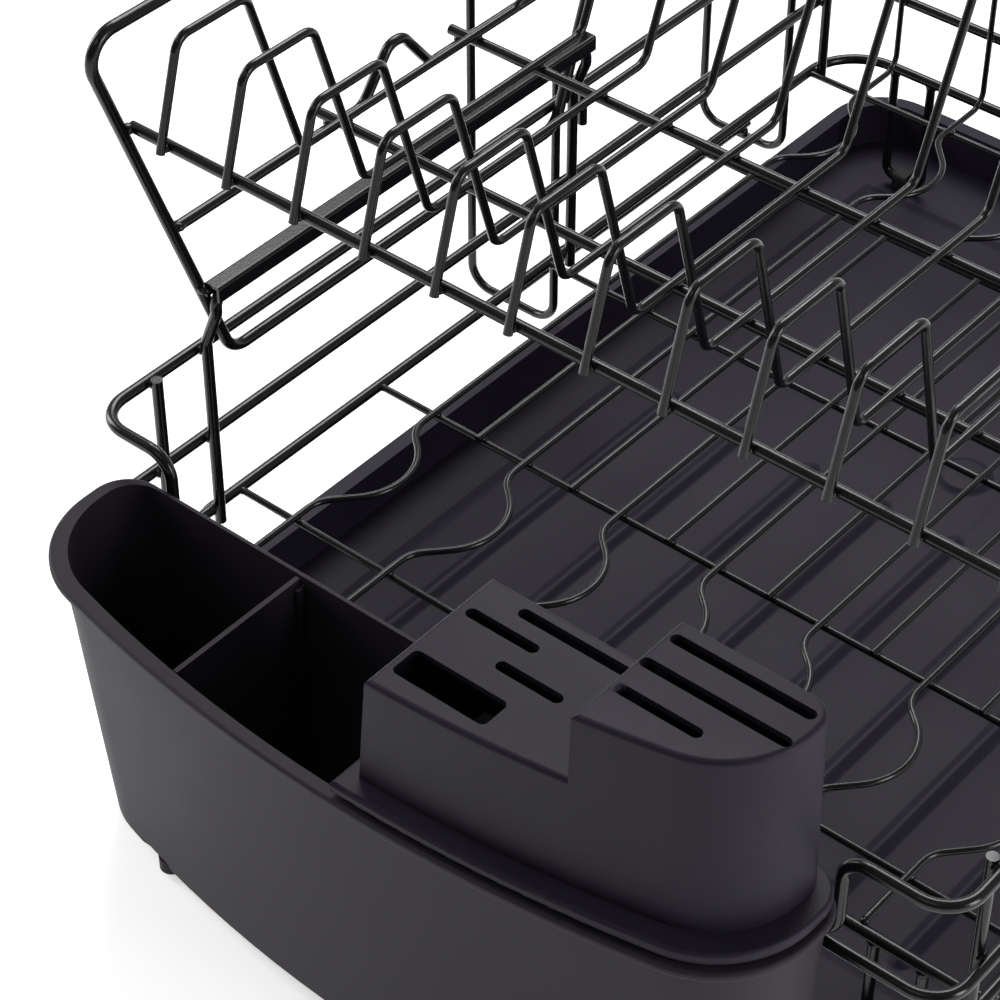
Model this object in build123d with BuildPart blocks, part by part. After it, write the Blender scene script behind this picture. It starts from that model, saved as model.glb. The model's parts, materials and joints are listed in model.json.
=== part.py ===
from build123d import *
import math
import os

os.makedirs("parts", exist_ok=True)

# Two-tier dish drying rack: a wire basket, a lift-off plate rack, a drip tray,
# a hanging utensil caddy with a knife block, and a hook-on board holder.
# Origin on the counter under the middle of the basket, +Z up, +Y to the back.

# Wire diameters
frame_wire = 4.8
post_wire = 4.6
rail_wire = 4.4
holder_wire = 4.0
divider_wire = 3.4
cross_wire = 3.0
floor_wire = 2.8

# Clearances
weld_gap = 0.1
free_gap = 0.4
channel_gap = 0.3

# Basket
basket_half_width = 190.2
basket_half_length = 245.8
rim_z = 149.0
middle_z = 105.0
floor_z = 67.0
front_corner = 14.0
back_corner = 28.0
floor_setback = 40.0
notch_center_x = -2.0
notch_half_width = 150.0
notch_bend = 10.0
wire_end = 3.0

# Basket floor
floor_pitch = 24.35
floor_count = 14
inner_cross = 111.0
outer_cross = 196.0
wave_start = 125.8
wave_peak = 151.6
wave_end = 184.0
wave_reach = 30.0
wave_bend = 27.0
wave_ease = 14.0
back_bend = 8.0

# Support legs and uprights
leg_center_y = -81.0
leg_half_span = 110.6
leg_top_z = 181.0
leg_bend = 8.0
leg_crank = 5.0
leg_foot_z = 63.0
upright_setback = 27.3
upright_bend = 8.0
upright_reach = 10.0

# Feet under the floor hoop
foot_inset = 2.0
foot_span = 20.4
foot_bend = 6.0
foot_height = 9.0
foot_width = 9.0
foot_length = 7.0
foot_round = 2.0

# Plate rack
rack_top_z = 309.5
rack_bottom_z = 142.5
rack_top_half = 158.4
rack_bottom_half = 98.3
rack_bend = 11.0
high_rail_z = 266.7
side_wire_z = 213.7
hump_half = 20.0
hump_top_half = 4.0
hump_height = 20.0
hump_bend = 7.0
floor_rail_half = 38.0
rail_overhang = 5.0
divider_count = 12
divider_pitch = 31.3
divider_shift = -3.7
divider_offset = 9.1
divider_tip = 2.5
divider_top_z = 306.8
divider_outer = 130.2
divider_inner = 96.5
divider_floor = 63.5
divider_bend = 7.0
channel_wall = 1.2
channel_depth = 6.8

# Drip tray
tray_side_margin = 6.3
tray_front_margin = 16.2
tray_back_margin = 37.2
tray_height = 24.0
tray_wall = 2.0
tray_lip = 5.0
tray_corner = 30.0
tray_ridge_pitch = 44.0
tray_ridge_count = 8
tray_ridge_width = 4.0
tray_ridge_height = 1.6

# Utensil caddy
caddy_center_x = -9.0
caddy_half_width = 161.0
caddy_depth = 73.0
caddy_bow = 22.0
caddy_corner = 40.0
caddy_back_corner = 14.0
caddy_rim_z = 136.0
caddy_base_z = 8.0
caddy_draft = 8.0
caddy_wall = 2.2
caddy_bead = 3.4
caddy_bead_height = 4.0
bead_round = 1.5
caddy_hook_spread = 90.0
caddy_hook_width = 22.0
caddy_hook_lip = 9.0
caddy_foot_spread = 104.0
caddy_foot_rows = [14.0, 50.0]
caddy_foot_width = 10.0
caddy_foot_height = 6.0
drain_length = 22.0
drain_width = 4.5
partition_x = -84.0
partition_thickness = 2.0
partition_gap = 0.5
partition_drop = 1.0
guide_width = 1.6
guide_reach = 4.0

# Knife block
block_left_x = 2.6
block_step_x = 83.0
block_low_z = 188.0
block_high_z = 216.0
block_taper = 0.03
block_lean = 0.06
block_inset = 6.0
block_back = 1.5
block_wall = 2.4
block_flange = 5.0
flange_overhang = 1.5
flange_left_reach = 6.0
flange_groove = 1.5
groove_inset = 1.5
block_lip = 9.0
lip_gap = 0.8
block_round = 2.0
knife_slot = 4.6

# Knife slots: middle X, distance from the caddy's back, length
low_slots = [(24.7, 19.4, 30.0), (46.5, 8.6, 47.0), (46.5, 32.0, 27.0)]
high_slots = [(112.7, 10.0, 55.0), (112.7, 24.1, 57.0), (100.5, 38.2, 36.0)]
tool_hole_x = 28.5
tool_hole_back = 50.0
tool_hole_length = 39.0
tool_hole_width = 13.0

# Board holder
holder_front_y = 36.5
holder_rear_y = 212.0
holder_reach = 48.0
holder_tip_z = 134.0
holder_base_z = 19.0
holder_top_z = 190.0
holder_bend = 11.0
holder_overhang = 5.0
holder_clear = 1.3

# Places worked out from the sizes above
front_y = -basket_half_length
back_y = basket_half_length
floor_front_y = front_y + floor_setback
floor_center_y = (floor_front_y + back_y) / 2
front_upright_y = front_y + upright_setback
foot_spread = basket_half_width - back_corner - foot_span / 2 - foot_inset
tray_width = 2 * (basket_half_width + tray_side_margin)
tray_front_y = floor_front_y - tray_front_margin
tray_back_y = back_y + tray_back_margin
tray_length = tray_back_y - tray_front_y
tray_center_y = (tray_front_y + tray_back_y) / 2
notch_z = middle_z + frame_wire + weld_gap
leg_x = basket_half_width - (frame_wire + post_wire) / 2 - weld_gap
end_frame_x = basket_half_width - frame_wire - free_gap
channel_inner = post_wire + 2 * channel_gap
channel_width = channel_inner + 2 * channel_wall
channel_x = end_frame_x - (frame_wire + channel_width) / 2 - weld_gap
channel_top_z = leg_top_z + post_wire / 2 + channel_gap + channel_wall
long_wire_z = floor_z + (cross_wire + floor_wire) / 2 + weld_gap
floor_rail_z = side_wire_z + rail_wire + weld_gap
divider_floor_z = floor_rail_z + (rail_wire + divider_wire) / 2 + weld_gap
caddy_back_y = front_y - frame_wire / 2 - free_gap
rear_upright_y = floor_center_y + outer_cross + (cross_wire + post_wire) / 2 + weld_gap


def rack_half(z):
    """Half the length of an end frame at height z."""
    share = (z - rack_bottom_z) / (rack_top_z - rack_bottom_z)
    return rack_bottom_half + share * (rack_top_half - rack_bottom_half)


def bent_wire(diameter, points, radius, close=False):
    """A round wire along straight runs with bent corners."""
    with BuildPart() as bent:
        with BuildLine() as path:
            FilletPolyline(*points, radius=radius, close=close)
        with BuildSketch(Plane(origin=path.line @ 0, z_dir=path.line % 0)):
            Circle(diameter / 2)
        sweep()
    return bent.part


def straight_wire(diameter, start, end):
    """A straight round wire with flat ends."""
    with BuildPart() as rod:
        with BuildLine() as path:
            Line(start, end)
        with BuildSketch(Plane(origin=path.line @ 0, z_dir=path.line % 0)):
            Circle(diameter / 2)
        sweep()
    return rod.part


def caddy_inset(z):
    """How far the caddy's drafted walls stand in at height z."""
    return caddy_draft * (caddy_rim_z - z) / (caddy_rim_z - caddy_base_z)


def caddy_front_y(x, inset):
    """Where the bowed front lies at x, for a wall that stands in by inset."""
    half = caddy_half_width - inset
    bow_radius = (half**2 + caddy_bow**2) / (2 * caddy_bow)
    rise = bow_radius - math.sqrt(bow_radius**2 - (x - caddy_center_x) ** 2)
    return caddy_back_y - caddy_depth + inset + rise


def caddy_outline(z, inset=0.0, back_inset=0.0, left=None, right=None):
    """The caddy's plan: flat back, rounded corners and a bowed front."""
    half = caddy_half_width - inset
    back = caddy_back_y - back_inset
    bow_y = caddy_back_y - caddy_depth + inset
    side_y = bow_y + caddy_bow
    low_x = caddy_center_x - 2 * caddy_half_width if left is None else left
    high_x = caddy_center_x + 2 * caddy_half_width if right is None else right
    with BuildSketch(Plane.XY.offset(z)) as outline:
        with BuildLine():
            Polyline(
                (caddy_center_x - half, side_y),
                (caddy_center_x - half, back),
                (caddy_center_x + half, back),
                (caddy_center_x + half, side_y),
            )
            ThreePointArc(
                (caddy_center_x + half, side_y),
                (caddy_center_x, bow_y),
                (caddy_center_x - half, side_y),
            )
        make_face()
        fillet(outline.vertices().group_by(Axis.Y)[-1], caddy_back_corner - inset / 2)
        fillet(outline.vertices().group_by(Axis.Y)[0], caddy_corner - inset / 2)
        with Locations(((low_x + high_x) / 2, caddy_back_y - caddy_depth / 2)):
            Rectangle(high_x - low_x, 2 * caddy_depth, mode=Mode.INTERSECT)
    return outline.sketch


# Rim hoop, with the dip in its front side where the caddy hangs
rim_points = [
    (basket_half_width, back_y, rim_z),
    (-basket_half_width, back_y, rim_z),
    (-basket_half_width, front_y, rim_z),
    (notch_center_x - notch_half_width, front_y, rim_z),
    (notch_center_x - notch_half_width, front_y, notch_z),
    (notch_center_x + notch_half_width, front_y, notch_z),
    (notch_center_x + notch_half_width, front_y, rim_z),
    (basket_half_width, front_y, rim_z),
]
rim_radii = [back_corner] * 2 + [front_corner] + [notch_bend] * 4 + [front_corner]
with BuildPart() as rim_hoop:
    add(bent_wire(frame_wire, rim_points, rim_radii, close=True))
rim_hoop.part.label = "rim_hoop"
export_step(rim_hoop.part, "parts/rim_hoop.step")

# Middle hoop
hoop_radii = [back_corner] * 2 + [front_corner] * 2
middle_points = [
    (basket_half_width, back_y, middle_z),
    (-basket_half_width, back_y, middle_z),
    (-basket_half_width, front_y, middle_z),
    (basket_half_width, front_y, middle_z),
]
with BuildPart() as middle_hoop:
    add(bent_wire(frame_wire, middle_points, hoop_radii, close=True))
middle_hoop.part.label = "middle_hoop"
export_step(middle_hoop.part, "parts/middle_hoop.step")

# Floor hoop, set back at the front behind the caddy
floor_points = [
    (basket_half_width, back_y, floor_z),
    (-basket_half_width, back_y, floor_z),
    (-basket_half_width, floor_front_y, floor_z),
    (basket_half_width, floor_front_y, floor_z),
]
with BuildPart() as floor_hoop:
    add(bent_wire(frame_wire, floor_points, hoop_radii, close=True))
floor_hoop.part.label = "floor_hoop"
export_step(floor_hoop.part, "parts/floor_hoop.step")

# Floor cross wires, welded between the sides of the floor hoop
cross_end_x = basket_half_width - frame_wire / 2 - weld_gap
with BuildPart() as floor_cross_wires:
    for offset_y in (-outer_cross, -inner_cross, 0.0, inner_cross, outer_cross):
        y = floor_center_y + offset_y
        add(straight_wire(cross_wire, (-cross_end_x, y, floor_z), (cross_end_x, y, floor_z)))
floor_cross_wires.part.label = "floor_cross_wires"
export_step(floor_cross_wires.part, "parts/floor_cross_wires.step")

# Straight long floor wires, between the inner cross wires
floor_x = [(i - (floor_count - 1) / 2) * floor_pitch for i in range(floor_count)]
straight_end = inner_cross + wire_end
with BuildPart() as floor_straight_wires:
    for x in floor_x[1::2]:
        start = (x, floor_center_y - straight_end, long_wire_z)
        end = (x, floor_center_y + straight_end, long_wire_z)
        add(straight_wire(floor_wire, start, end))
floor_straight_wires.part.label = "floor_straight_wires"
export_step(floor_straight_wires.part, "parts/floor_straight_wires.step")

# Wavy long floor wires, from the front of the floor hoop up the back wall
wall_y = back_y - (frame_wire + floor_wire) / 2 - weld_gap
wave_points = [
    (0, floor_front_y + frame_wire / 2 + weld_gap, long_wire_z),
    (0, floor_center_y - wave_end, long_wire_z),
    (wave_reach, floor_center_y - wave_peak, long_wire_z),
    (0, floor_center_y - wave_start, long_wire_z),
    (0, floor_center_y + wave_start, long_wire_z),
    (wave_reach, floor_center_y + wave_peak, long_wire_z),
    (0, floor_center_y + wave_end, long_wire_z),
    (0, wall_y, long_wire_z),
    (0, wall_y, rim_z + wire_end),
]
wave_radii = [wave_ease, wave_bend, wave_ease] * 2 + [back_bend]
wavy_wire = bent_wire(floor_wire, wave_points, wave_radii)
with BuildPart() as floor_wavy_wires:
    with Locations(*[(x, 0, 0) for x in floor_x[0::2]]):
        add(wavy_wire)
floor_wavy_wires.part.label = "floor_wavy_wires"
export_step(floor_wavy_wires.part, "parts/floor_wavy_wires.step")

# Support legs: arches inside the hoops, cranked in above the rim to carry the plate rack
leg_front_y = leg_center_y - leg_half_span
leg_back_y = leg_center_y + leg_half_span
crank_low_z = rim_z + post_wire
crank_high_z = leg_top_z - leg_bend - post_wire / 2
leg_radii = [leg_crank, leg_crank, leg_bend, leg_bend, leg_crank, leg_crank]
for side, name in ((-1, "left_support_leg"), (1, "right_support_leg")):
    leg_points = [
        (side * leg_x, leg_front_y, leg_foot_z),
        (side * leg_x, leg_front_y, crank_low_z),
        (side * channel_x, leg_front_y, crank_high_z),
        (side * channel_x, leg_front_y, leg_top_z),
        (side * channel_x, leg_back_y, leg_top_z),
        (side * channel_x, leg_back_y, crank_high_z),
        (side * leg_x, leg_back_y, crank_low_z),
        (side * leg_x, leg_back_y, leg_foot_z),
    ]
    with BuildPart() as support_leg:
        add(bent_wire(post_wire, leg_points, leg_radii))
    support_leg.part.label = name
    export_step(support_leg.part, f"parts/{name}.step")

# Corner uprights: the front ones turn back over the floor hoop's corners
upright_low_z = floor_z + (frame_wire + post_wire) / 2 + weld_gap
upright_top_z = rim_z + wire_end
for side, hand in ((-1, "left"), (1, "right")):
    x = side * leg_x
    upright_points = [
        (x, front_upright_y, upright_top_z),
        (x, front_upright_y, upright_low_z),
        (x, floor_front_y + upright_reach, upright_low_z),
    ]
    with BuildPart() as front_upright:
        add(bent_wire(post_wire, upright_points, upright_bend))
    front_upright.part.label = f"{hand}_front_upright"
    export_step(front_upright.part, f"parts/{hand}_front_upright.step")

    rear_start = (x, rear_upright_y, floor_z - frame_wire / 2)
    rear_end = (x, rear_upright_y, upright_top_z)
    with BuildPart() as rear_upright:
        add(straight_wire(post_wire, rear_start, rear_end))
    rear_upright.part.label = f"{hand}_rear_upright"
    export_step(rear_upright.part, f"parts/{hand}_rear_upright.step")

# Feet: a bent wire under the floor hoop, with a rubber sleeve that stands in the tray
foot_top_z = floor_z - frame_wire / 2 - weld_gap
foot_wire_z = tray_wall + foot_height / 2
corners = [
    (-1, floor_front_y, "left_front"),
    (1, floor_front_y, "right_front"),
    (-1, back_y, "left_rear"),
    (1, back_y, "right_rear"),
]
for side, y, name in corners:
    low_x = side * foot_spread - foot_span / 2
    high_x = side * foot_spread + foot_span / 2
    foot_points = [
        (low_x, y, foot_top_z),
        (low_x, y, foot_wire_z),
        (high_x, y, foot_wire_z),
        (high_x, y, foot_top_z),
    ]
    with BuildPart() as foot_wire:
        add(bent_wire(rail_wire, foot_points, foot_bend))
    foot_wire.part.label = f"{name}_foot_wire"
    export_step(foot_wire.part, f"parts/{name}_foot_wire.step")

    sleeve_plane = Plane(
        origin=(side * foot_spread, y, foot_wire_z), x_dir=(0, 1, 0), z_dir=(1, 0, 0)
    )
    with BuildPart() as foot:
        with BuildSketch(sleeve_plane):
            RectangleRounded(foot_width, foot_height, foot_round)
            Circle(rail_wire / 2 + weld_gap, mode=Mode.SUBTRACT)
        extrude(amount=foot_length / 2, both=True)
    foot.part.label = f"{name}_foot"
    export_step(foot.part, f"parts/{name}_foot.step")

# Ends of the plate rack
side_lean = math.atan2(rack_top_half - rack_bottom_half, rack_top_z - rack_bottom_z)
side_wire_low = rack_half(side_wire_z - rail_wire / 2)
side_wire_half = side_wire_low - frame_wire / 2 / math.cos(side_lean) - weld_gap
side_profile = [
    (-side_wire_half, 0),
    (-hump_half, 0),
    (-hump_top_half, hump_height),
    (hump_top_half, hump_height),
    (hump_half, 0),
    (side_wire_half, 0),
]
for side, hand in ((-1, "left"), (1, "right")):
    # End frame, wider at the top
    x = side * end_frame_x
    frame_points = [
        (x, leg_center_y - rack_bottom_half, rack_bottom_z),
        (x, leg_center_y - rack_top_half, rack_top_z),
        (x, leg_center_y + rack_top_half, rack_top_z),
        (x, leg_center_y + rack_bottom_half, rack_bottom_z),
    ]
    with BuildPart() as end_frame:
        add(bent_wire(frame_wire, frame_points, rack_bend, close=True))
    end_frame.part.label = f"{hand}_end_frame"
    export_step(end_frame.part, f"parts/{hand}_end_frame.step")

    # Channel that hooks down over the top of the support leg
    channel_plane = Plane(
        origin=(side * channel_x, leg_center_y, channel_top_z), x_dir=(1, 0, 0), z_dir=(0, -1, 0)
    )
    with BuildPart() as hook_channel:
        with BuildSketch(channel_plane):
            with Locations((0, -channel_depth / 2)):
                Rectangle(channel_width, channel_depth)
            with Locations((0, -channel_depth / 2 - channel_wall)):
                Rectangle(channel_inner, channel_depth, mode=Mode.SUBTRACT)
        extrude(amount=rack_half(leg_top_z), both=True)
        top_edges = hook_channel.faces().sort_by(Axis.Z)[-1].edges().filter_by(Axis.Y)
        fillet(top_edges, channel_wall)
    hook_channel.part.label = f"{hand}_hook_channel"
    export_step(hook_channel.part, f"parts/{hand}_hook_channel.step")

    # Side wire across the end frame under the floor rails, with a hump between them
    side_points = [(x, leg_center_y + run, side_wire_z + rise) for run, rise in side_profile]
    with BuildPart() as side_wire:
        add(bent_wire(rail_wire, side_points, hump_bend))
    side_wire.part.label = f"{hand}_side_wire"
    export_step(side_wire.part, f"parts/{hand}_side_wire.step")

# Rails along the plate rack, the high ones inside the end frames' legs
rail_seat = (frame_wire + rail_wire) / 2 + weld_gap
high_rail_half = rack_half(high_rail_z) - rail_seat / math.cos(side_lean)
high_rail_end = end_frame_x
floor_rail_end = end_frame_x + rail_overhang
rails = [
    ("front_rail", -high_rail_half, high_rail_z, high_rail_end),
    ("front_floor_rail", -floor_rail_half, floor_rail_z, floor_rail_end),
    ("rear_floor_rail", floor_rail_half, floor_rail_z, floor_rail_end),
    ("rear_rail", high_rail_half, high_rail_z, high_rail_end),
]
for name, offset_y, z, end_x in rails:
    y = leg_center_y + offset_y
    with BuildPart() as rail:
        add(straight_wire(rail_wire, (-end_x, y, z), (end_x, y, z)))
    rail.part.label = name
    export_step(rail.part, f"parts/{name}.step")

# Plate dividers: each wire starts outside the front rail, humps, crosses the floor and humps again
divider_seat = (rail_wire + divider_wire) / 2 + weld_gap
rail_run = high_rail_half - divider_outer
rail_drop = divider_top_z - high_rail_z
rail_distance = math.hypot(rail_run, rail_drop)
divider_lean = math.atan2(rail_run, rail_drop) + math.asin(divider_seat / rail_distance)
divider_leg = math.sqrt(rail_distance**2 - divider_seat**2) + divider_tip
hump_profile = [
    (divider_outer + divider_leg * math.sin(divider_lean),
     divider_top_z - divider_leg * math.cos(divider_lean)),
    (divider_outer, divider_top_z),
    (divider_inner, divider_top_z),
]
divider_points = [(divider_offset, leg_center_y - run, z) for run, z in hump_profile]
divider_points += [(0, leg_center_y - divider_floor, divider_floor_z)]
divider_points += [(0, leg_center_y + divider_floor, divider_floor_z)]
divider_points += [(0, leg_center_y + run, z) for run, z in reversed(hump_profile)]
divider = bent_wire(divider_wire, divider_points, divider_bend)
divider_first_x = divider_shift - (divider_count - 1) / 2 * divider_pitch
divider_x = [divider_first_x + i * divider_pitch for i in range(divider_count)]
with BuildPart() as divider_wires:
    with Locations(*[(x, 0, 0) for x in divider_x]):
        add(divider)
divider_wires.part.label = "divider_wires"
export_step(divider_wires.part, "parts/divider_wires.step")

# Drip tray: a shallow moulded pan with a turned-out lip and lengthwise ridges
pan_width = tray_width - 2 * tray_lip
pan_length = tray_length - 2 * tray_lip
pan_corner = tray_corner - tray_lip
with BuildPart() as drip_tray:
    with BuildSketch(Plane.XY):
        with Locations((0, tray_center_y)):
            RectangleRounded(pan_width, pan_length, pan_corner)
    extrude(amount=tray_height)
    fillet(drip_tray.faces().sort_by(Axis.Z)[0].edges(), 2 * tray_wall)
    with BuildSketch(Plane.XY.offset(tray_height - tray_wall)):
        with Locations((0, tray_center_y)):
            RectangleRounded(tray_width, tray_length, tray_corner)
    extrude(amount=tray_wall)
    with BuildSketch(Plane.XY.offset(tray_wall)):
        with Locations((0, tray_center_y)):
            RectangleRounded(
                pan_width - 2 * tray_wall, pan_length - 2 * tray_wall, pan_corner - tray_wall
            )
    extrude(amount=tray_height, mode=Mode.SUBTRACT)
    with BuildSketch(Plane.XY.offset(tray_wall)):
        with Locations((0, tray_center_y)):
            with GridLocations(tray_ridge_pitch, 1, tray_ridge_count, 1):
                SlotOverall(pan_length - 4 * pan_corner, tray_ridge_width, rotation=90)
    extrude(amount=tray_ridge_height)
drip_tray.part.label = "drip_tray"
export_step(drip_tray.part, "parts/drip_tray.step")

# Utensil caddy: drafted walls, a bead round the rim, drain slots, feet, two hooks and guides
bead_z = caddy_rim_z - caddy_bead_height
inner_base_z = caddy_base_z + caddy_wall
hook_top_z = notch_z + frame_wire / 2 + free_gap + caddy_wall
hook_inner_y = front_y + frame_wire / 2 + free_gap
hook_profile = [
    (caddy_back_y - caddy_wall / 2, hook_top_z),
    (hook_inner_y + caddy_wall, hook_top_z),
    (hook_inner_y + caddy_wall, hook_top_z - caddy_wall - caddy_hook_lip),
    (hook_inner_y, hook_top_z - caddy_wall - caddy_hook_lip),
    (hook_inner_y, hook_top_z - caddy_wall),
    (caddy_back_y - caddy_wall / 2, hook_top_z - caddy_wall),
]
guide_offset = (partition_thickness + guide_width) / 2 + partition_gap
guide_length = guide_reach + caddy_wall / 2
guide_y = caddy_back_y - caddy_wall / 2 - guide_length / 2
with BuildPart() as caddy_body:
    extrude(caddy_outline(bead_z, -caddy_bead), amount=caddy_bead_height)
    fillet(caddy_body.edges().filter_by(Axis.Z, reverse=True), bead_round)
    loft([caddy_outline(caddy_base_z, caddy_inset(caddy_base_z)), caddy_outline(caddy_rim_z)])
    inner_base = caddy_outline(inner_base_z, caddy_inset(inner_base_z) + caddy_wall, caddy_wall)
    inner_rim = caddy_outline(caddy_rim_z, caddy_wall, caddy_wall)
    loft([inner_base, inner_rim], mode=Mode.SUBTRACT)
    with BuildSketch(Plane.XY.offset(caddy_base_z)):
        with Locations((caddy_center_x, caddy_back_y - caddy_depth / 2)):
            with GridLocations(2 * drain_length, 4 * drain_width, 6, 3):
                SlotOverall(drain_length, drain_width)
    extrude(amount=caddy_wall, mode=Mode.SUBTRACT)
    with BuildSketch(Plane.XY.offset(caddy_base_z)):
        for from_back in caddy_foot_rows:
            with Locations((caddy_center_x, caddy_back_y - from_back)):
                with GridLocations(2 * caddy_foot_spread, 1, 2, 1):
                    Circle(caddy_foot_width / 2)
    extrude(amount=-caddy_foot_height)
    for side in (-1, 1):
        with BuildSketch(Plane.YZ.offset(caddy_center_x + side * caddy_hook_spread)):
            with BuildLine():
                Polyline(*hook_profile, close=True)
            make_face()
        extrude(amount=caddy_hook_width / 2, both=True)
    with BuildSketch(Plane.XY.offset(inner_base_z)):
        with Locations((partition_x - guide_offset, guide_y), (partition_x + guide_offset, guide_y)):
            Rectangle(guide_width, guide_length)
    extrude(amount=bead_z - inner_base_z)
caddy_body.part.label = "caddy_body"
export_step(caddy_body.part, "parts/caddy_body.step")

# Caddy partition: a drop-in plate
partition_base_z = inner_base_z
partition_top_z = caddy_rim_z - partition_drop
partition_back_y = caddy_back_y - caddy_wall - partition_gap
partition_profile = [
    (partition_back_y, partition_base_z),
    (partition_back_y, partition_top_z),
    (caddy_front_y(partition_x, caddy_inset(partition_top_z) + caddy_wall) + 2 * partition_gap,
     partition_top_z),
    (caddy_front_y(partition_x, caddy_inset(partition_base_z) + caddy_wall) + 2 * partition_gap,
     partition_base_z),
]
with BuildPart() as caddy_partition:
    with BuildSketch(Plane.YZ.offset(partition_x)):
        with BuildLine():
            Polyline(*partition_profile, close=True)
        make_face()
    extrude(amount=partition_thickness / 2, both=True)
caddy_partition.part.label = "caddy_partition"
export_step(caddy_partition.part, "parts/caddy_partition.step")

# Knife block: a hollow moulding in two steps, with a flange on the caddy's rim and a lip inside it
lip_z = caddy_rim_z - block_lip
flange_z = caddy_rim_z + flange_groove
lip_inset = caddy_inset(lip_z) + caddy_wall + lip_gap


def block_outline(z, shell, left, right):
    """The block's plan at height z, inside its outer face by shell."""
    inset = block_inset + block_taper * (z - caddy_rim_z) + shell
    return caddy_outline(z, inset, block_back + shell, left, right)


def block_left(z):
    """The block's leaning left face at height z."""
    return block_left_x + block_lean * (z - caddy_rim_z)


with BuildPart() as knife_block:
    flange_left = block_left_x - flange_left_reach
    groove_left = flange_left + flange_overhang + groove_inset
    extrude(caddy_outline(flange_z, -flange_overhang, 0, flange_left), amount=block_flange)
    fillet(knife_block.edges().filter_by(Axis.Z, reverse=True), bead_round)
    extrude(caddy_outline(caddy_rim_z, groove_inset, 0, groove_left), amount=flange_groove)
    loft(
        [
            block_outline(caddy_rim_z, 0, block_left(caddy_rim_z), block_step_x),
            block_outline(block_low_z, 0, block_left(block_low_z), block_step_x),
        ]
    )
    low_deck = knife_block.faces().sort_by(Axis.Z)[-1]
    fillet(low_deck.edges().sort_by(Axis.X)[:-1], block_round)
    loft(
        [
            block_outline(caddy_rim_z, 0, block_step_x, None),
            block_outline(block_high_z, 0, block_step_x, None),
        ]
    )
    fillet(knife_block.faces().sort_by(Axis.Z)[-1].edges(), block_round)
    extrude(
        caddy_outline(lip_z, lip_inset, caddy_wall + lip_gap, block_left_x), amount=block_lip
    )
    extrude(
        caddy_outline(
            lip_z,
            lip_inset + block_wall,
            caddy_wall + lip_gap + block_wall,
            block_left_x + block_wall,
        ),
        amount=block_lip + flange_groove,
        mode=Mode.SUBTRACT,
    )
    low_top_z = block_low_z - block_wall
    loft(
        [
            block_outline(flange_z, block_wall, block_left(flange_z) + block_wall, block_step_x),
            block_outline(low_top_z, block_wall, block_left(low_top_z) + block_wall, block_step_x),
        ],
        mode=Mode.SUBTRACT,
    )
    high_top_z = block_high_z - block_wall
    loft(
        [
            block_outline(flange_z, block_wall, block_step_x + block_wall, None),
            block_outline(high_top_z, block_wall, block_step_x + block_wall, None),
        ],
        mode=Mode.SUBTRACT,
    )
    for deck_z, slots in ((block_low_z, low_slots), (block_high_z, high_slots)):
        for middle_x, from_back, length in slots:
            with BuildSketch(Plane.XY.offset(deck_z)):
                with Locations((middle_x, caddy_back_y - from_back)):
                    SlotOverall(length, knife_slot)
            extrude(amount=-2 * block_wall, mode=Mode.SUBTRACT)
    with BuildSketch(Plane.XY.offset(block_low_z)):
        with Locations((tool_hole_x, caddy_back_y - tool_hole_back)):
            RectangleRounded(tool_hole_length, tool_hole_width, block_wall)
    extrude(amount=-2 * block_wall, mode=Mode.SUBTRACT)
knife_block.part.label = "knife_block"
export_step(knife_block.part, "parts/knife_block.step")

# Board holder: two hooked wires over the left rim, joined by a top wire and a base wire
hook_clear = (frame_wire + holder_wire) / 2 + free_gap
hook_in_x = -basket_half_width + hook_clear
hook_out_x = -tray_width / 2 - holder_wire / 2 - holder_clear
holder_out_x = hook_out_x - holder_reach
holder_hook_z = rim_z + hook_clear
hook_bend = hook_clear - 2 * weld_gap
holder_radii = [hook_bend, hook_bend, holder_bend, holder_bend]
for y, name in ((holder_front_y, "holder_front_wire"), (holder_rear_y, "holder_rear_wire")):
    holder_points = [
        (hook_in_x, y, holder_tip_z),
        (hook_in_x, y, holder_hook_z),
        (hook_out_x, y, holder_hook_z),
        (hook_out_x, y, holder_base_z),
        (holder_out_x, y, holder_base_z),
        (holder_out_x, y, holder_top_z),
    ]
    with BuildPart() as hooked_wire:
        add(bent_wire(holder_wire, holder_points, holder_radii))
    hooked_wire.part.label = name
    export_step(hooked_wire.part, f"parts/{name}.step")

holder_low_y = holder_front_y - holder_overhang
holder_high_y = holder_rear_y + holder_overhang
top_wire_z = holder_top_z + holder_wire / 2 + weld_gap
base_wire_x = (hook_out_x + holder_out_x) / 2
base_wire_z = holder_base_z + holder_wire + weld_gap
holder_bars = [
    ("holder_top_wire", holder_out_x, top_wire_z),
    ("holder_base_wire", base_wire_x, base_wire_z),
]
for name, x, z in holder_bars:
    with BuildPart() as holder_bar:
        add(straight_wire(holder_wire, (x, holder_low_y, z), (x, holder_high_y, z)))
    holder_bar.part.label = name
    export_step(holder_bar.part, f"parts/{name}.step")
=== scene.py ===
import json
import math
import random

import bmesh
import bpy
from mathutils import Matrix, Vector


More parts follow.
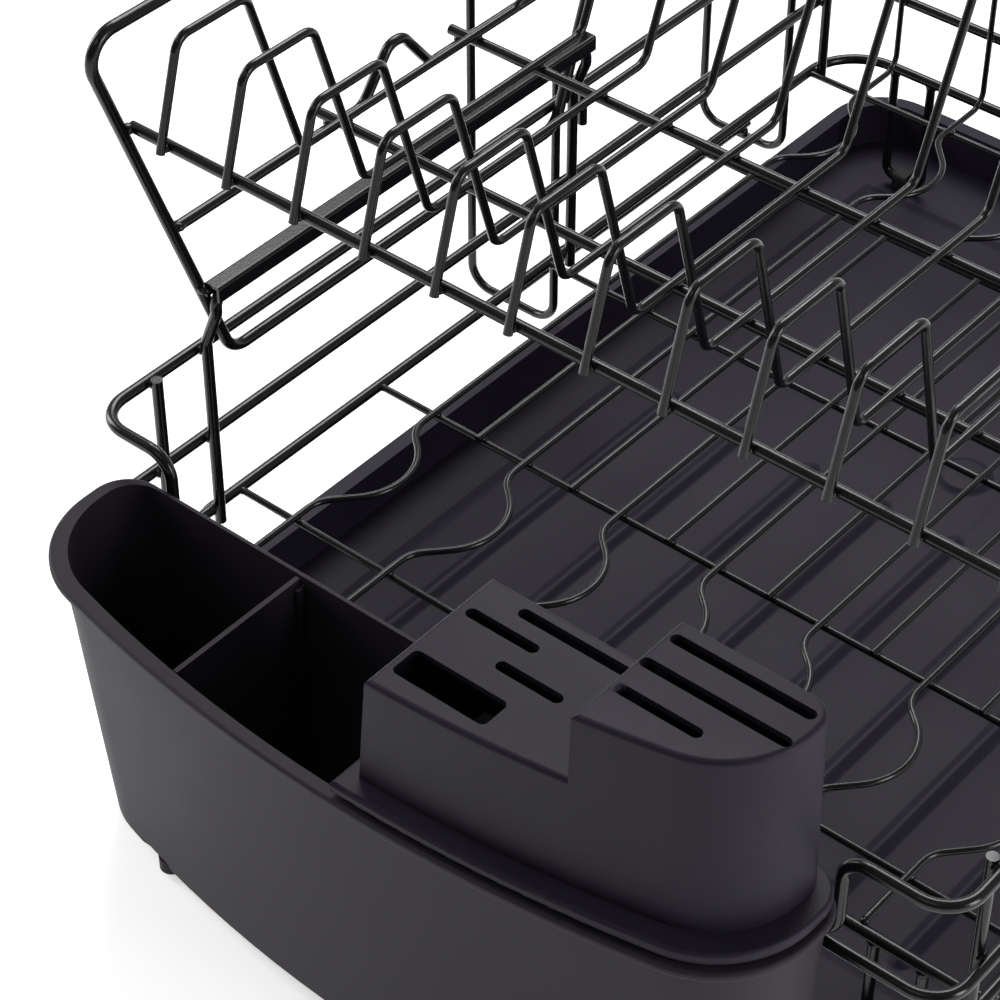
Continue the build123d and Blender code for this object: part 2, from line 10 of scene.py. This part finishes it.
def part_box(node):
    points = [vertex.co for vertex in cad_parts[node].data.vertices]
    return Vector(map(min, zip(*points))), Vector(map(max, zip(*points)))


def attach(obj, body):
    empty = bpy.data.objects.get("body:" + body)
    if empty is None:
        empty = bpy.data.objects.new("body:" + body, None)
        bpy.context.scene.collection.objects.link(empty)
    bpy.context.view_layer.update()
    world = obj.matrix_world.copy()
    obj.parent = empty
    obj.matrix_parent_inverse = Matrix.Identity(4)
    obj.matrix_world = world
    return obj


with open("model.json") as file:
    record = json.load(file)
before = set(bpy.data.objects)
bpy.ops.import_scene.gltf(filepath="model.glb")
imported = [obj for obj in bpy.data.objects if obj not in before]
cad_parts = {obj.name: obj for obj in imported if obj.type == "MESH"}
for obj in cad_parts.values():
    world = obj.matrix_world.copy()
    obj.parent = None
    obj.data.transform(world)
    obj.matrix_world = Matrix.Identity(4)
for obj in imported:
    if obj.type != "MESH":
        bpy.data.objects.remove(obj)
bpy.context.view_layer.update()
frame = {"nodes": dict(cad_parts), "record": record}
nodes = frame["nodes"]
scene = bpy.context.scene

# Camera: the photograph looks down from the front right at the middle of the left floor
VIEW_TARGET = Vector((-0.105, -0.11425, 0.067))
VIEW_AZIMUTH = math.radians(39.95)
VIEW_ELEVATION = math.radians(41.41)
VIEW_DISTANCE = 1.216
LENS = 109.44
SENSOR = 36.0

# Mix node: the places of its colour sockets
MIX_LOW = 6
MIX_HIGH = 7
MIX_RESULT = 2

# Colours, linear
WIRE_BLACK = (0.0034, 0.0029, 0.0036, 1.0)
WIRE_WORN = (0.0070, 0.0062, 0.0074, 1.0)
TRAY_GREY = (0.0140, 0.0113, 0.0205, 1.0)
TRAY_LIGHT = (0.0205, 0.0166, 0.0285, 1.0)
CADDY_GREY = (0.0235, 0.0190, 0.0260, 1.0)
CADDY_LIGHT = (0.0320, 0.0265, 0.0350, 1.0)
BLOCK_GREY = (0.0155, 0.0122, 0.0215, 1.0)
BLOCK_LIGHT = (0.0255, 0.0208, 0.0335, 1.0)
RUBBER_BLACK = (0.0090, 0.0084, 0.0092, 1.0)
RUBBER_DUST = (0.0160, 0.0155, 0.0158, 1.0)
STAGE_WHITE = (0.92, 0.92, 0.92, 1.0)
WHITE = (1.0, 1.0, 1.0, 1.0)

# Stage and room: strengths of the floor's glow and of the room, where 1 is white
STAGE_SIZE = 40.0
STAGE_DROP = 0.0005
STAGE_ROUGHNESS = 0.9
STAGE_GLOW = 0.55
ROOM_SIDE = (-0.45, 0.85, -0.27)
ROOM_FROM = -0.8
ROOM_TO = 1.0
ROOM_DIM = 0.12
ROOM_BRIGHT = 0.6

# Weld beads, metres
LANE_GAP = 0.006
WELD_FINE = 0.0020
WELD_HEAVY = 0.0028
WELD_FLAT = 0.75
WELD_SPREAD = 0.15
WELD_FACETS = 2
CORNER_IN = 0.0035

# Ribbed floor of the drip tray, metres
RIB_PITCH = 0.0374
RIB_COUNT = 8
RIB_MIDDLE_X = -0.0043
RIB_END_Y = 0.0485
RIB_HALF = 0.0052
RIB_HEIGHT = 0.0024
RIB_END = 0.006
RIB_STEPS = 14
END_STEPS = 8
EDGE_STEPS = 6
FLOOR_COVER = 0.0002
FLOOR_EDGE = 0.012
BOSS_MIDDLE = (-0.006, 0.082)
BOSS_TOP = 0.009
BOSS_FOOT = 0.013
BOSS_HEIGHT = 0.0017
BOSS_STEPS = 8
BOSS_TURNS = 48
INSIDE_X = 0.8
INSIDE_Y = 0.85

# Left end of the front slot in the knife block's high deck, metres
STEP_X = 0.083
DECK_Z = 0.216
DECK_ROUND = 0.002
SLOT_Y = -0.2868
SLOT_HALF = 0.0023
SLOT_DEPTH = 0.0048
SLOT_MARGIN = 0.0032
SLOT_STEPS = 10
ROUND_STEPS = 6


def new_node(tree, kind, **inputs):
    """A shader node with some of its sockets set."""
    node = tree.nodes.new(kind)
    for name, value in inputs.items():
        node.inputs[name.replace("_", " ")].default_value = value
    return node


def surface(name, colours, roughness, patch, grain, bump, specular):
    """A coated or moulded surface: patchy colour and gloss, with a fine grain in the bump."""
    material = bpy.data.materials.new(name)
    material.use_nodes = True
    tree = material.node_tree
    link = tree.links.new
    shader = tree.nodes["Principled BSDF"]
    shader.inputs["IOR"].default_value = 1.5
    shader.inputs["Specular IOR Level"].default_value = specular
    place = tree.nodes.new("ShaderNodeTexCoord")

    patches = new_node(tree, "ShaderNodeTexNoise", Scale=patch, Detail=4.0, Roughness=0.6)
    link(place.outputs["Object"], patches.inputs["Vector"])
    colour = tree.nodes.new("ShaderNodeMix")
    colour.data_type = "RGBA"
    colour.inputs[MIX_LOW].default_value, colour.inputs[MIX_HIGH].default_value = colours
    link(patches.outputs["Fac"], colour.inputs[0])
    link(colour.outputs[MIX_RESULT], shader.inputs["Base Color"])

    gloss = tree.nodes.new("ShaderNodeMapRange")
    gloss.inputs["To Min"].default_value, gloss.inputs["To Max"].default_value = roughness
    link(patches.outputs["Fac"], gloss.inputs["Value"])
    link(gloss.outputs["Result"], shader.inputs["Roughness"])

    grains = new_node(tree, "ShaderNodeTexNoise", Scale=grain, Detail=3.0, Roughness=0.55)
    link(place.outputs["Object"], grains.inputs["Vector"])
    relief = new_node(tree, "ShaderNodeBump", Strength=bump, Distance=0.0004)
    link(grains.outputs["Fac"], relief.inputs["Height"])
    link(relief.outputs["Normal"], shader.inputs["Normal"])
    return material


skins = {
    "coated_wire": surface(
        "wire_coat", (WIRE_BLACK, WIRE_WORN), (0.16, 0.26),
        patch=60.0, grain=900.0, bump=0.08, specular=0.42,
    ),
    "tray_plastic": surface(
        "tray_skin", (TRAY_GREY, TRAY_LIGHT), (0.40, 0.54),
        patch=12.0, grain=2600.0, bump=0.20, specular=0.15,
    ),
    "caddy_plastic": surface(
        "caddy_skin", (CADDY_GREY, CADDY_LIGHT), (0.44, 0.58),
        patch=12.0, grain=2600.0, bump=0.20, specular=0.16,
    ),
    "block_plastic": surface(
        "block_skin", (BLOCK_GREY, BLOCK_LIGHT), (0.34, 0.52),
        patch=22.0, grain=2600.0, bump=0.22, specular=0.15,
    ),
    "foot_rubber": surface(
        "foot_skin", (RUBBER_BLACK, RUBBER_DUST), (0.62, 0.78),
        patch=40.0, grain=1800.0, bump=0.30, specular=0.3,
    ),
}
for part in frame["record"]["subparts"]:
    node = nodes[part["node"]]
    node.data.materials.clear()
    node.data.materials.append(skins[part["material_slot"]])


def add_piece(name, form, body, slot):
    """A new smooth piece that rides on a body and takes the finish of a slot."""
    mesh = bpy.data.meshes.new(name)
    form.to_mesh(mesh)
    form.free()
    mesh.shade_smooth()
    mesh.materials.append(skins[slot])
    piece = bpy.data.objects.new(name, mesh)
    scene.collection.objects.link(piece)
    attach(piece, body)


def ease(part):
    """A smooth step from 0 to 1."""
    part = min(max(part, 0.0), 1.0)
    return part * part * (3 - 2 * part)


def spread(start, end, count):
    """Evenly spaced values from start to end."""
    return [start + (end - start) * step / count for step in range(count + 1)]


def middle(node):
    """The middle of a node's box."""
    low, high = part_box(node)
    return (low + high) / 2


def lanes(node, axis, keep=None):
    """Middles of a node's parallel wires, in order along an axis."""
    values = sorted(v.co[axis] for v in nodes[node].data.vertices if keep is None or keep(v.co))
    groups = [[values[0]]]
    for value in values[1:]:
        if value - groups[-1][-1] > LANE_GAP:
            groups.append([])
        groups[-1].append(value)
    return [(group[0] + group[-1]) / 2 for group in groups]


def add_welds(name, body, welds):
    """Small coated weld beads: each weld is a place and a radius."""
    draw = random.Random(name)
    form = bmesh.new()
    for place, radius in welds:
        radii = [radius * draw.uniform(1 - WELD_SPREAD, 1 + WELD_SPREAD) for axis in range(3)]
        radii[2] *= WELD_FLAT
        shape = Matrix.Translation(place) @ Matrix.Diagonal((*radii, 1.0))
        bmesh.ops.create_icosphere(form, subdivisions=WELD_FACETS, radius=1.0, matrix=shape)
    add_piece(name, form, body, "coated_wire")


# Welds of the basket: floor wires, then legs, uprights and feet on the hoops
floor_low, floor_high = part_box("floor_hoop")
hoop_low, hoop_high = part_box("middle_hoop")
cross_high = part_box("floor_cross_wires")[1]
wavy_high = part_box("floor_wavy_wires")[1]
hoop_wire = hoop_high.z - hoop_low.z
hoop_inner_x = hoop_high.x - hoop_wire
hoop_inner_y = hoop_high.y - hoop_wire
rim_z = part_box("rim_hoop")[1].z - hoop_wire / 2
middle_z = middle("middle_hoop").z
floor_z = middle("floor_hoop").z
straight_low, straight_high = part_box("floor_straight_wires")
wall_start = wavy_high.y - hoop_wire / 2
wavy_x = lanes("floor_wavy_wires", 0, lambda co: co.y > wall_start)
basket_welds = []
for y in lanes("floor_cross_wires", 1):
    for side in (-1, 1):
        basket_welds.append(((side * hoop_inner_x, y, floor_z), WELD_FINE))
    for x in wavy_x:
        basket_welds.append(((x, y, cross_high.z), WELD_FINE))
    if straight_low.y < y < straight_high.y:
        for x in lanes("floor_straight_wires", 0):
            basket_welds.append(((x, y, cross_high.z), WELD_FINE))
for x in wavy_x:
    basket_welds.append(((x, floor_low.y + hoop_wire, floor_high.z), WELD_FINE))
    for z in (middle_z, rim_z):
        basket_welds.append(((x, hoop_inner_y, z), WELD_FINE))
for side, hand in ((-1, "left"), (1, "right")):
    leg_low, leg_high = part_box(f"{hand}_support_leg")
    upright_low, upright_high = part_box(f"{hand}_front_upright")
    post = upright_high.x - upright_low.x
    front_y = upright_low.y + post / 2
    rear_y = middle(f"{hand}_rear_upright").y
    x = side * hoop_inner_x
    for z in (floor_z, middle_z, rim_z):
        for y in (leg_low.y + post / 2, leg_high.y - post / 2, rear_y):
            basket_welds.append(((x, y, z), WELD_HEAVY))
    for z in (middle_z, rim_z):
        basket_welds.append(((x, front_y, z), WELD_HEAVY))
    corner_y = floor_low.y + hoop_wire / 2 + CORNER_IN
    basket_welds.append(((middle(f"{hand}_front_upright").x, corner_y, floor_high.z), WELD_HEAVY))
    for end in ("front", "rear"):
        foot_low, foot_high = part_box(f"{hand}_{end}_foot_wire")
        foot_wire = foot_high.y - foot_low.y
        for x in (foot_low.x + foot_wire / 2, foot_high.x - foot_wire / 2):
            basket_welds.append(((x, (foot_low.y + foot_high.y) / 2, floor_low.z), WELD_HEAVY))
add_welds("basket_welds", "basket", basket_welds)

# Welds of the plate rack: dividers on the rails, rails and side wires on the end frames
divider_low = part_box("divider_wires")[0]
divider_y = middle("divider_wires").y
hump_end_y = divider_low.y + (divider_y - divider_low.y) / 4
front_x = lanes("divider_wires", 0, lambda co: co.y < hump_end_y)
rear_x = lanes("divider_wires", 0, lambda co: co.y > divider_y)
rack_welds = []
for side, rail, places in ((-1, "front_rail", front_x), (1, "rear_rail", rear_x)):
    rail_low, rail_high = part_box(rail)
    rail_wire = rail_high.z - rail_low.z
    rail_y = (rail_low.y + rail_high.y) / 2
    rail_z = (rail_low.z + rail_high.z) / 2
    for x in places:
        rack_welds.append(((x, rail_y + side * rail_wire / 2, rail_z), WELD_FINE))
    for x in (rail_low.x, rail_high.x):
        rack_welds.append(((x, rail_y + side * rail_wire / 2, rail_z), WELD_HEAVY))
for rail in ("front_floor_rail", "rear_floor_rail"):
    rail_low, rail_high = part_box(rail)
    rail_y = (rail_low.y + rail_high.y) / 2
    for x in rear_x:
        rack_welds.append(((x, rail_y, rail_high.z), WELD_FINE))
    for hand in ("left", "right"):
        rack_welds.append(((middle(f"{hand}_side_wire").x, rail_y, rail_low.z), WELD_HEAVY))
for side, hand in ((-1, "left"), (1, "right")):
    wire_low, wire_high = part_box(f"{hand}_side_wire")
    wire_z = middle("front_floor_rail").z - (rail_high.z - rail_low.z)
    channel_low, channel_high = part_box(f"{hand}_hook_channel")
    channel_x = channel_low.x if side < 0 else channel_high.x
    for y in (wire_low.y, wire_high.y):
        rack_welds.append((((wire_low.x + wire_high.x) / 2, y, wire_z), WELD_HEAVY))
    for y in (channel_low.y, channel_high.y):
        rack_welds.append(((channel_x, y, (channel_low.z + channel_high.z) / 2), WELD_HEAVY))
add_welds("rack_welds", "plate_rack", rack_welds)

# Welds of the board holder
base_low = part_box("holder_base_wire")[0]
top_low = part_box("holder_top_wire")[0]
weld_reach = WELD_HEAVY * (1 + WELD_SPREAD)
holder_welds = []
for wire in ("holder_front_wire", "holder_rear_wire"):
    y = middle(wire).y
    holder_welds.append(((base_low.x + weld_reach, y, base_low.z), WELD_HEAVY))
    holder_welds.append(((top_low.x + weld_reach, y, top_low.z), WELD_HEAVY))
add_welds("holder_welds", "holder", holder_welds)

# Ribbed floor of the drip tray: a sheet with rounded ribs that end before a round boss
tray_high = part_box("drip_tray")[1]
tray_middle = middle("drip_tray")
tray_inside = []
for vertex in nodes["drip_tray"].data.vertices:
    place = vertex.co
    if abs(place.x) < INSIDE_X * tray_high.x and place.z < tray_high.z / 2:
        if abs(place.y - tray_middle.y) < INSIDE_Y * (tray_high.y - tray_middle.y):
            tray_inside.append(place)
rib_top = max(place.z for place in tray_inside)
tray_floor = min(place.z for place in tray_inside if place.z > rib_top / 3)
covered = [place for place in tray_inside if place.z > (rib_top + tray_floor) / 2]
sheet_x = max(place.x for place in covered) + FLOOR_EDGE
sheet_front = min(place.y for place in covered) - FLOOR_EDGE
sheet_back = max(place.y for place in covered) + FLOOR_EDGE
sheet_z = rib_top + FLOOR_COVER
rib_front = sheet_front + FLOOR_EDGE


rib_x = [RIB_MIDDLE_X + (step - (RIB_COUNT - 1) / 2) * RIB_PITCH for step in range(RIB_COUNT)]
columns = spread(-sheet_x, FLOOR_EDGE - sheet_x, EDGE_STEPS)
columns += spread(sheet_x - FLOOR_EDGE, sheet_x, EDGE_STEPS)
for x in rib_x:
    columns += spread(x - RIB_HALF, x + RIB_HALF, RIB_STEPS)
columns.sort()
rows = spread(sheet_front, rib_front, EDGE_STEPS)
rows += spread(sheet_back - FLOOR_EDGE, sheet_back, EDGE_STEPS)
rows += spread(rib_front + RIB_END / END_STEPS, rib_front + RIB_END, END_STEPS - 1)
rows += spread(RIB_END_Y - RIB_END, RIB_END_Y, END_STEPS)
rows.sort()


def sheet_height(x, y):
    """The ribbed sheet's height: it rises out of the tray's floor at its edge."""
    edge = min(sheet_x - abs(x), y - sheet_front, sheet_back - y)
    foot = tray_floor - FLOOR_COVER
    height = foot + (sheet_z - tray_floor + FLOOR_COVER) * ease(edge / FLOOR_EDGE)
    beside = min(abs(x - middle_x) for middle_x in rib_x)
    before = max(rib_front + RIB_END - y, y - RIB_END_Y + RIB_END, 0.0)
    away = math.hypot(beside / RIB_HALF, before / RIB_END)
    if away < 1:
        height += RIB_HEIGHT * math.cos(away * math.pi / 2) ** 2
    return height


form = bmesh.new()
grid = [[form.verts.new((x, y, sheet_height(x, y))) for x in columns] for y in rows]
for front, back in zip(grid, grid[1:]):
    for left in range(len(columns) - 1):
        form.faces.new((front[left], front[left + 1], back[left + 1], back[left]))
border = [edge for edge in form.edges if edge.is_boundary]
skirt = bmesh.ops.extrude_edge_only(form, edges=border)["geom"]
for vertex in skirt:
    if isinstance(vertex, bmesh.types.BMVert):
        vertex.co.z = tray_floor / 2
bmesh.ops.contextual_create(form, geom=[edge for edge in form.edges if edge.is_boundary])
bmesh.ops.recalc_face_normals(form, faces=form.faces)
add_piece("tray_ribbed_floor", form, "tray", "tray_plastic")

# Round boss behind the ribs
form = bmesh.new()
profile = [(0.0, 1.0)]
for part in spread(0, 1, BOSS_STEPS):
    profile.append((BOSS_TOP + (BOSS_FOOT - BOSS_TOP) * part, 1 - ease(part)))
profile += [(BOSS_FOOT, -0.5), (0.0, -0.5)]
rim = []
for radius, rise in profile:
    place = (BOSS_MIDDLE[0] + radius, BOSS_MIDDLE[1], sheet_z + BOSS_HEIGHT * rise)
    rim.append(form.verts.new(place))
outline = [form.edges.new(pair) for pair in zip(rim, rim[1:])]
bmesh.ops.spin(
    form, geom=rim + outline, cent=(*BOSS_MIDDLE, 0.0), axis=(0.0, 0.0, 1.0),
    angle=2 * math.pi, steps=BOSS_TURNS, use_merge=True,
)
bmesh.ops.remove_doubles(form, verts=form.verts, dist=1e-6)
bmesh.ops.recalc_face_normals(form, faces=form.faces)
add_piece("tray_boss", form, "tray", "tray_plastic")

# Left end of the front knife slot, closed just inside the deck's rounded edge
form = bmesh.new()
rings = []
for offset in spread(-SLOT_HALF, SLOT_HALF, SLOT_STEPS):
    slot_end = STEP_X + SLOT_MARGIN + SLOT_HALF - math.sqrt(SLOT_HALF ** 2 - offset ** 2)
    section = [(STEP_X, DECK_Z - SLOT_DEPTH)]
    for turn in spread(0, math.pi / 2, ROUND_STEPS):
        across = STEP_X + DECK_ROUND * (1 - math.cos(turn))
        section.append((across, DECK_Z - DECK_ROUND * (1 - math.sin(turn))))
    section += [(slot_end, DECK_Z), (slot_end, DECK_Z - SLOT_DEPTH)]
    rings.append([form.verts.new((x, SLOT_Y + offset, z)) for x, z in section])
for front, back in zip(rings, rings[1:]):
    for start in range(len(front)):
        end = (start + 1) % len(front)
        form.faces.new((front[start], front[end], back[end], back[start]))
form.faces.new(rings[0])
form.faces.new(rings[-1])
bmesh.ops.recalc_face_normals(form, faces=form.faces)
add_piece("block_slot_end", form, "block", "block_plastic")

# Floor: white to the camera and in reflections, with the object's shadow kept
floor_material = bpy.data.materials.new("stage_white")
floor_material.use_nodes = True
floor_tree = floor_material.node_tree
floor_shader = floor_tree.nodes["Principled BSDF"]
floor_shader.inputs["Base Color"].default_value = STAGE_WHITE
floor_shader.inputs["Roughness"].default_value = STAGE_ROUGHNESS
floor_shader.inputs["Emission Color"].default_value = WHITE
rays = floor_tree.nodes.new("ShaderNodeLightPath")
seen = rays.outputs["Is Camera Ray"]
for kind in ("Is Glossy Ray", "Is Transmission Ray"):
    either = floor_tree.nodes.new("ShaderNodeMath")
    either.operation = "MAXIMUM"
    floor_tree.links.new(seen, either.inputs[0])
    floor_tree.links.new(rays.outputs[kind], either.inputs[1])
    seen = either.outputs[0]
glow = floor_tree.nodes.new("ShaderNodeMath")
glow.operation = "MULTIPLY"
glow.inputs[1].default_value = STAGE_GLOW
floor_tree.links.new(seen, glow.inputs[0])
floor_tree.links.new(glow.outputs[0], floor_shader.inputs["Emission Strength"])
bpy.ops.mesh.primitive_plane_add(size=STAGE_SIZE, location=(0.0, 0.0, -STAGE_DROP))
stage_floor = bpy.context.object
stage_floor.name = "stage_floor"
stage_floor.data.materials.append(floor_material)

# Light: a white room that is brighter behind the object, and soft boxes
world = bpy.data.worlds.new("studio")
scene.world = world
world.use_nodes = True
world_tree = world.node_tree
background = world_tree.nodes["Background"]
background.inputs["Color"].default_value = WHITE
direction = world_tree.nodes.new("ShaderNodeTexCoord")
facing = world_tree.nodes.new("ShaderNodeVectorMath")
facing.operation = "DOT_PRODUCT"
facing.inputs[1].default_value = ROOM_SIDE
fade = new_node(
    world_tree, "ShaderNodeMapRange",
    From_Min=ROOM_FROM, From_Max=ROOM_TO, To_Min=ROOM_DIM, To_Max=ROOM_BRIGHT,
)
world_tree.links.new(direction.outputs["Generated"], facing.inputs[0])
world_tree.links.new(facing.outputs["Value"], fade.inputs["Value"])
world_tree.links.new(fade.outputs["Result"], background.inputs["Strength"])


def soft_box(name, place, target, width, height, power):
    """A rectangular lamp at place that shines at target."""
    lamp = bpy.data.lights.new(name, "AREA")
    lamp.shape = "RECTANGLE"
    lamp.size = width
    lamp.size_y = height
    lamp.energy = power
    holder = bpy.data.objects.new(name, lamp)
    scene.collection.objects.link(holder)
    holder.location = place
    aim = Vector(target) - Vector(place)
    holder.rotation_euler = aim.to_track_quat("-Z", "Y").to_euler()


soft_box("lamp_above", (-0.7, 0.9, 1.65), (0.0, 0.0, 0.1), 1.1, 0.9, 23.0)
soft_box("lamp_left", (-1.7, -0.5, 0.8), (0.0, -0.1, 0.1), 0.6, 1.1, 17.0)
soft_box("lamp_right", (1.7, 0.0, 0.6), (0.0, -0.1, 0.1), 0.5, 0.9, 12.0)
soft_box("lamp_front", (0.2, -1.3, 1.7), (0.0, 0.0, 0.1), 0.9, 0.4, 1.5)

# Camera
view_back = Vector(
    (
        math.sin(VIEW_AZIMUTH) * math.cos(VIEW_ELEVATION),
        -math.cos(VIEW_AZIMUTH) * math.cos(VIEW_ELEVATION),
        math.sin(VIEW_ELEVATION),
    )
)
lens = bpy.data.cameras.new("camera")
lens.lens = LENS
lens.sensor_width = SENSOR
lens.clip_end = 20.0
camera = bpy.data.objects.new("camera", lens)
scene.collection.objects.link(camera)
camera.location = VIEW_TARGET + view_back * VIEW_DISTANCE
camera.rotation_euler = (-view_back).to_track_quat("-Z", "Y").to_euler()
scene.camera = camera
scene.view_settings.view_transform = "Standard"
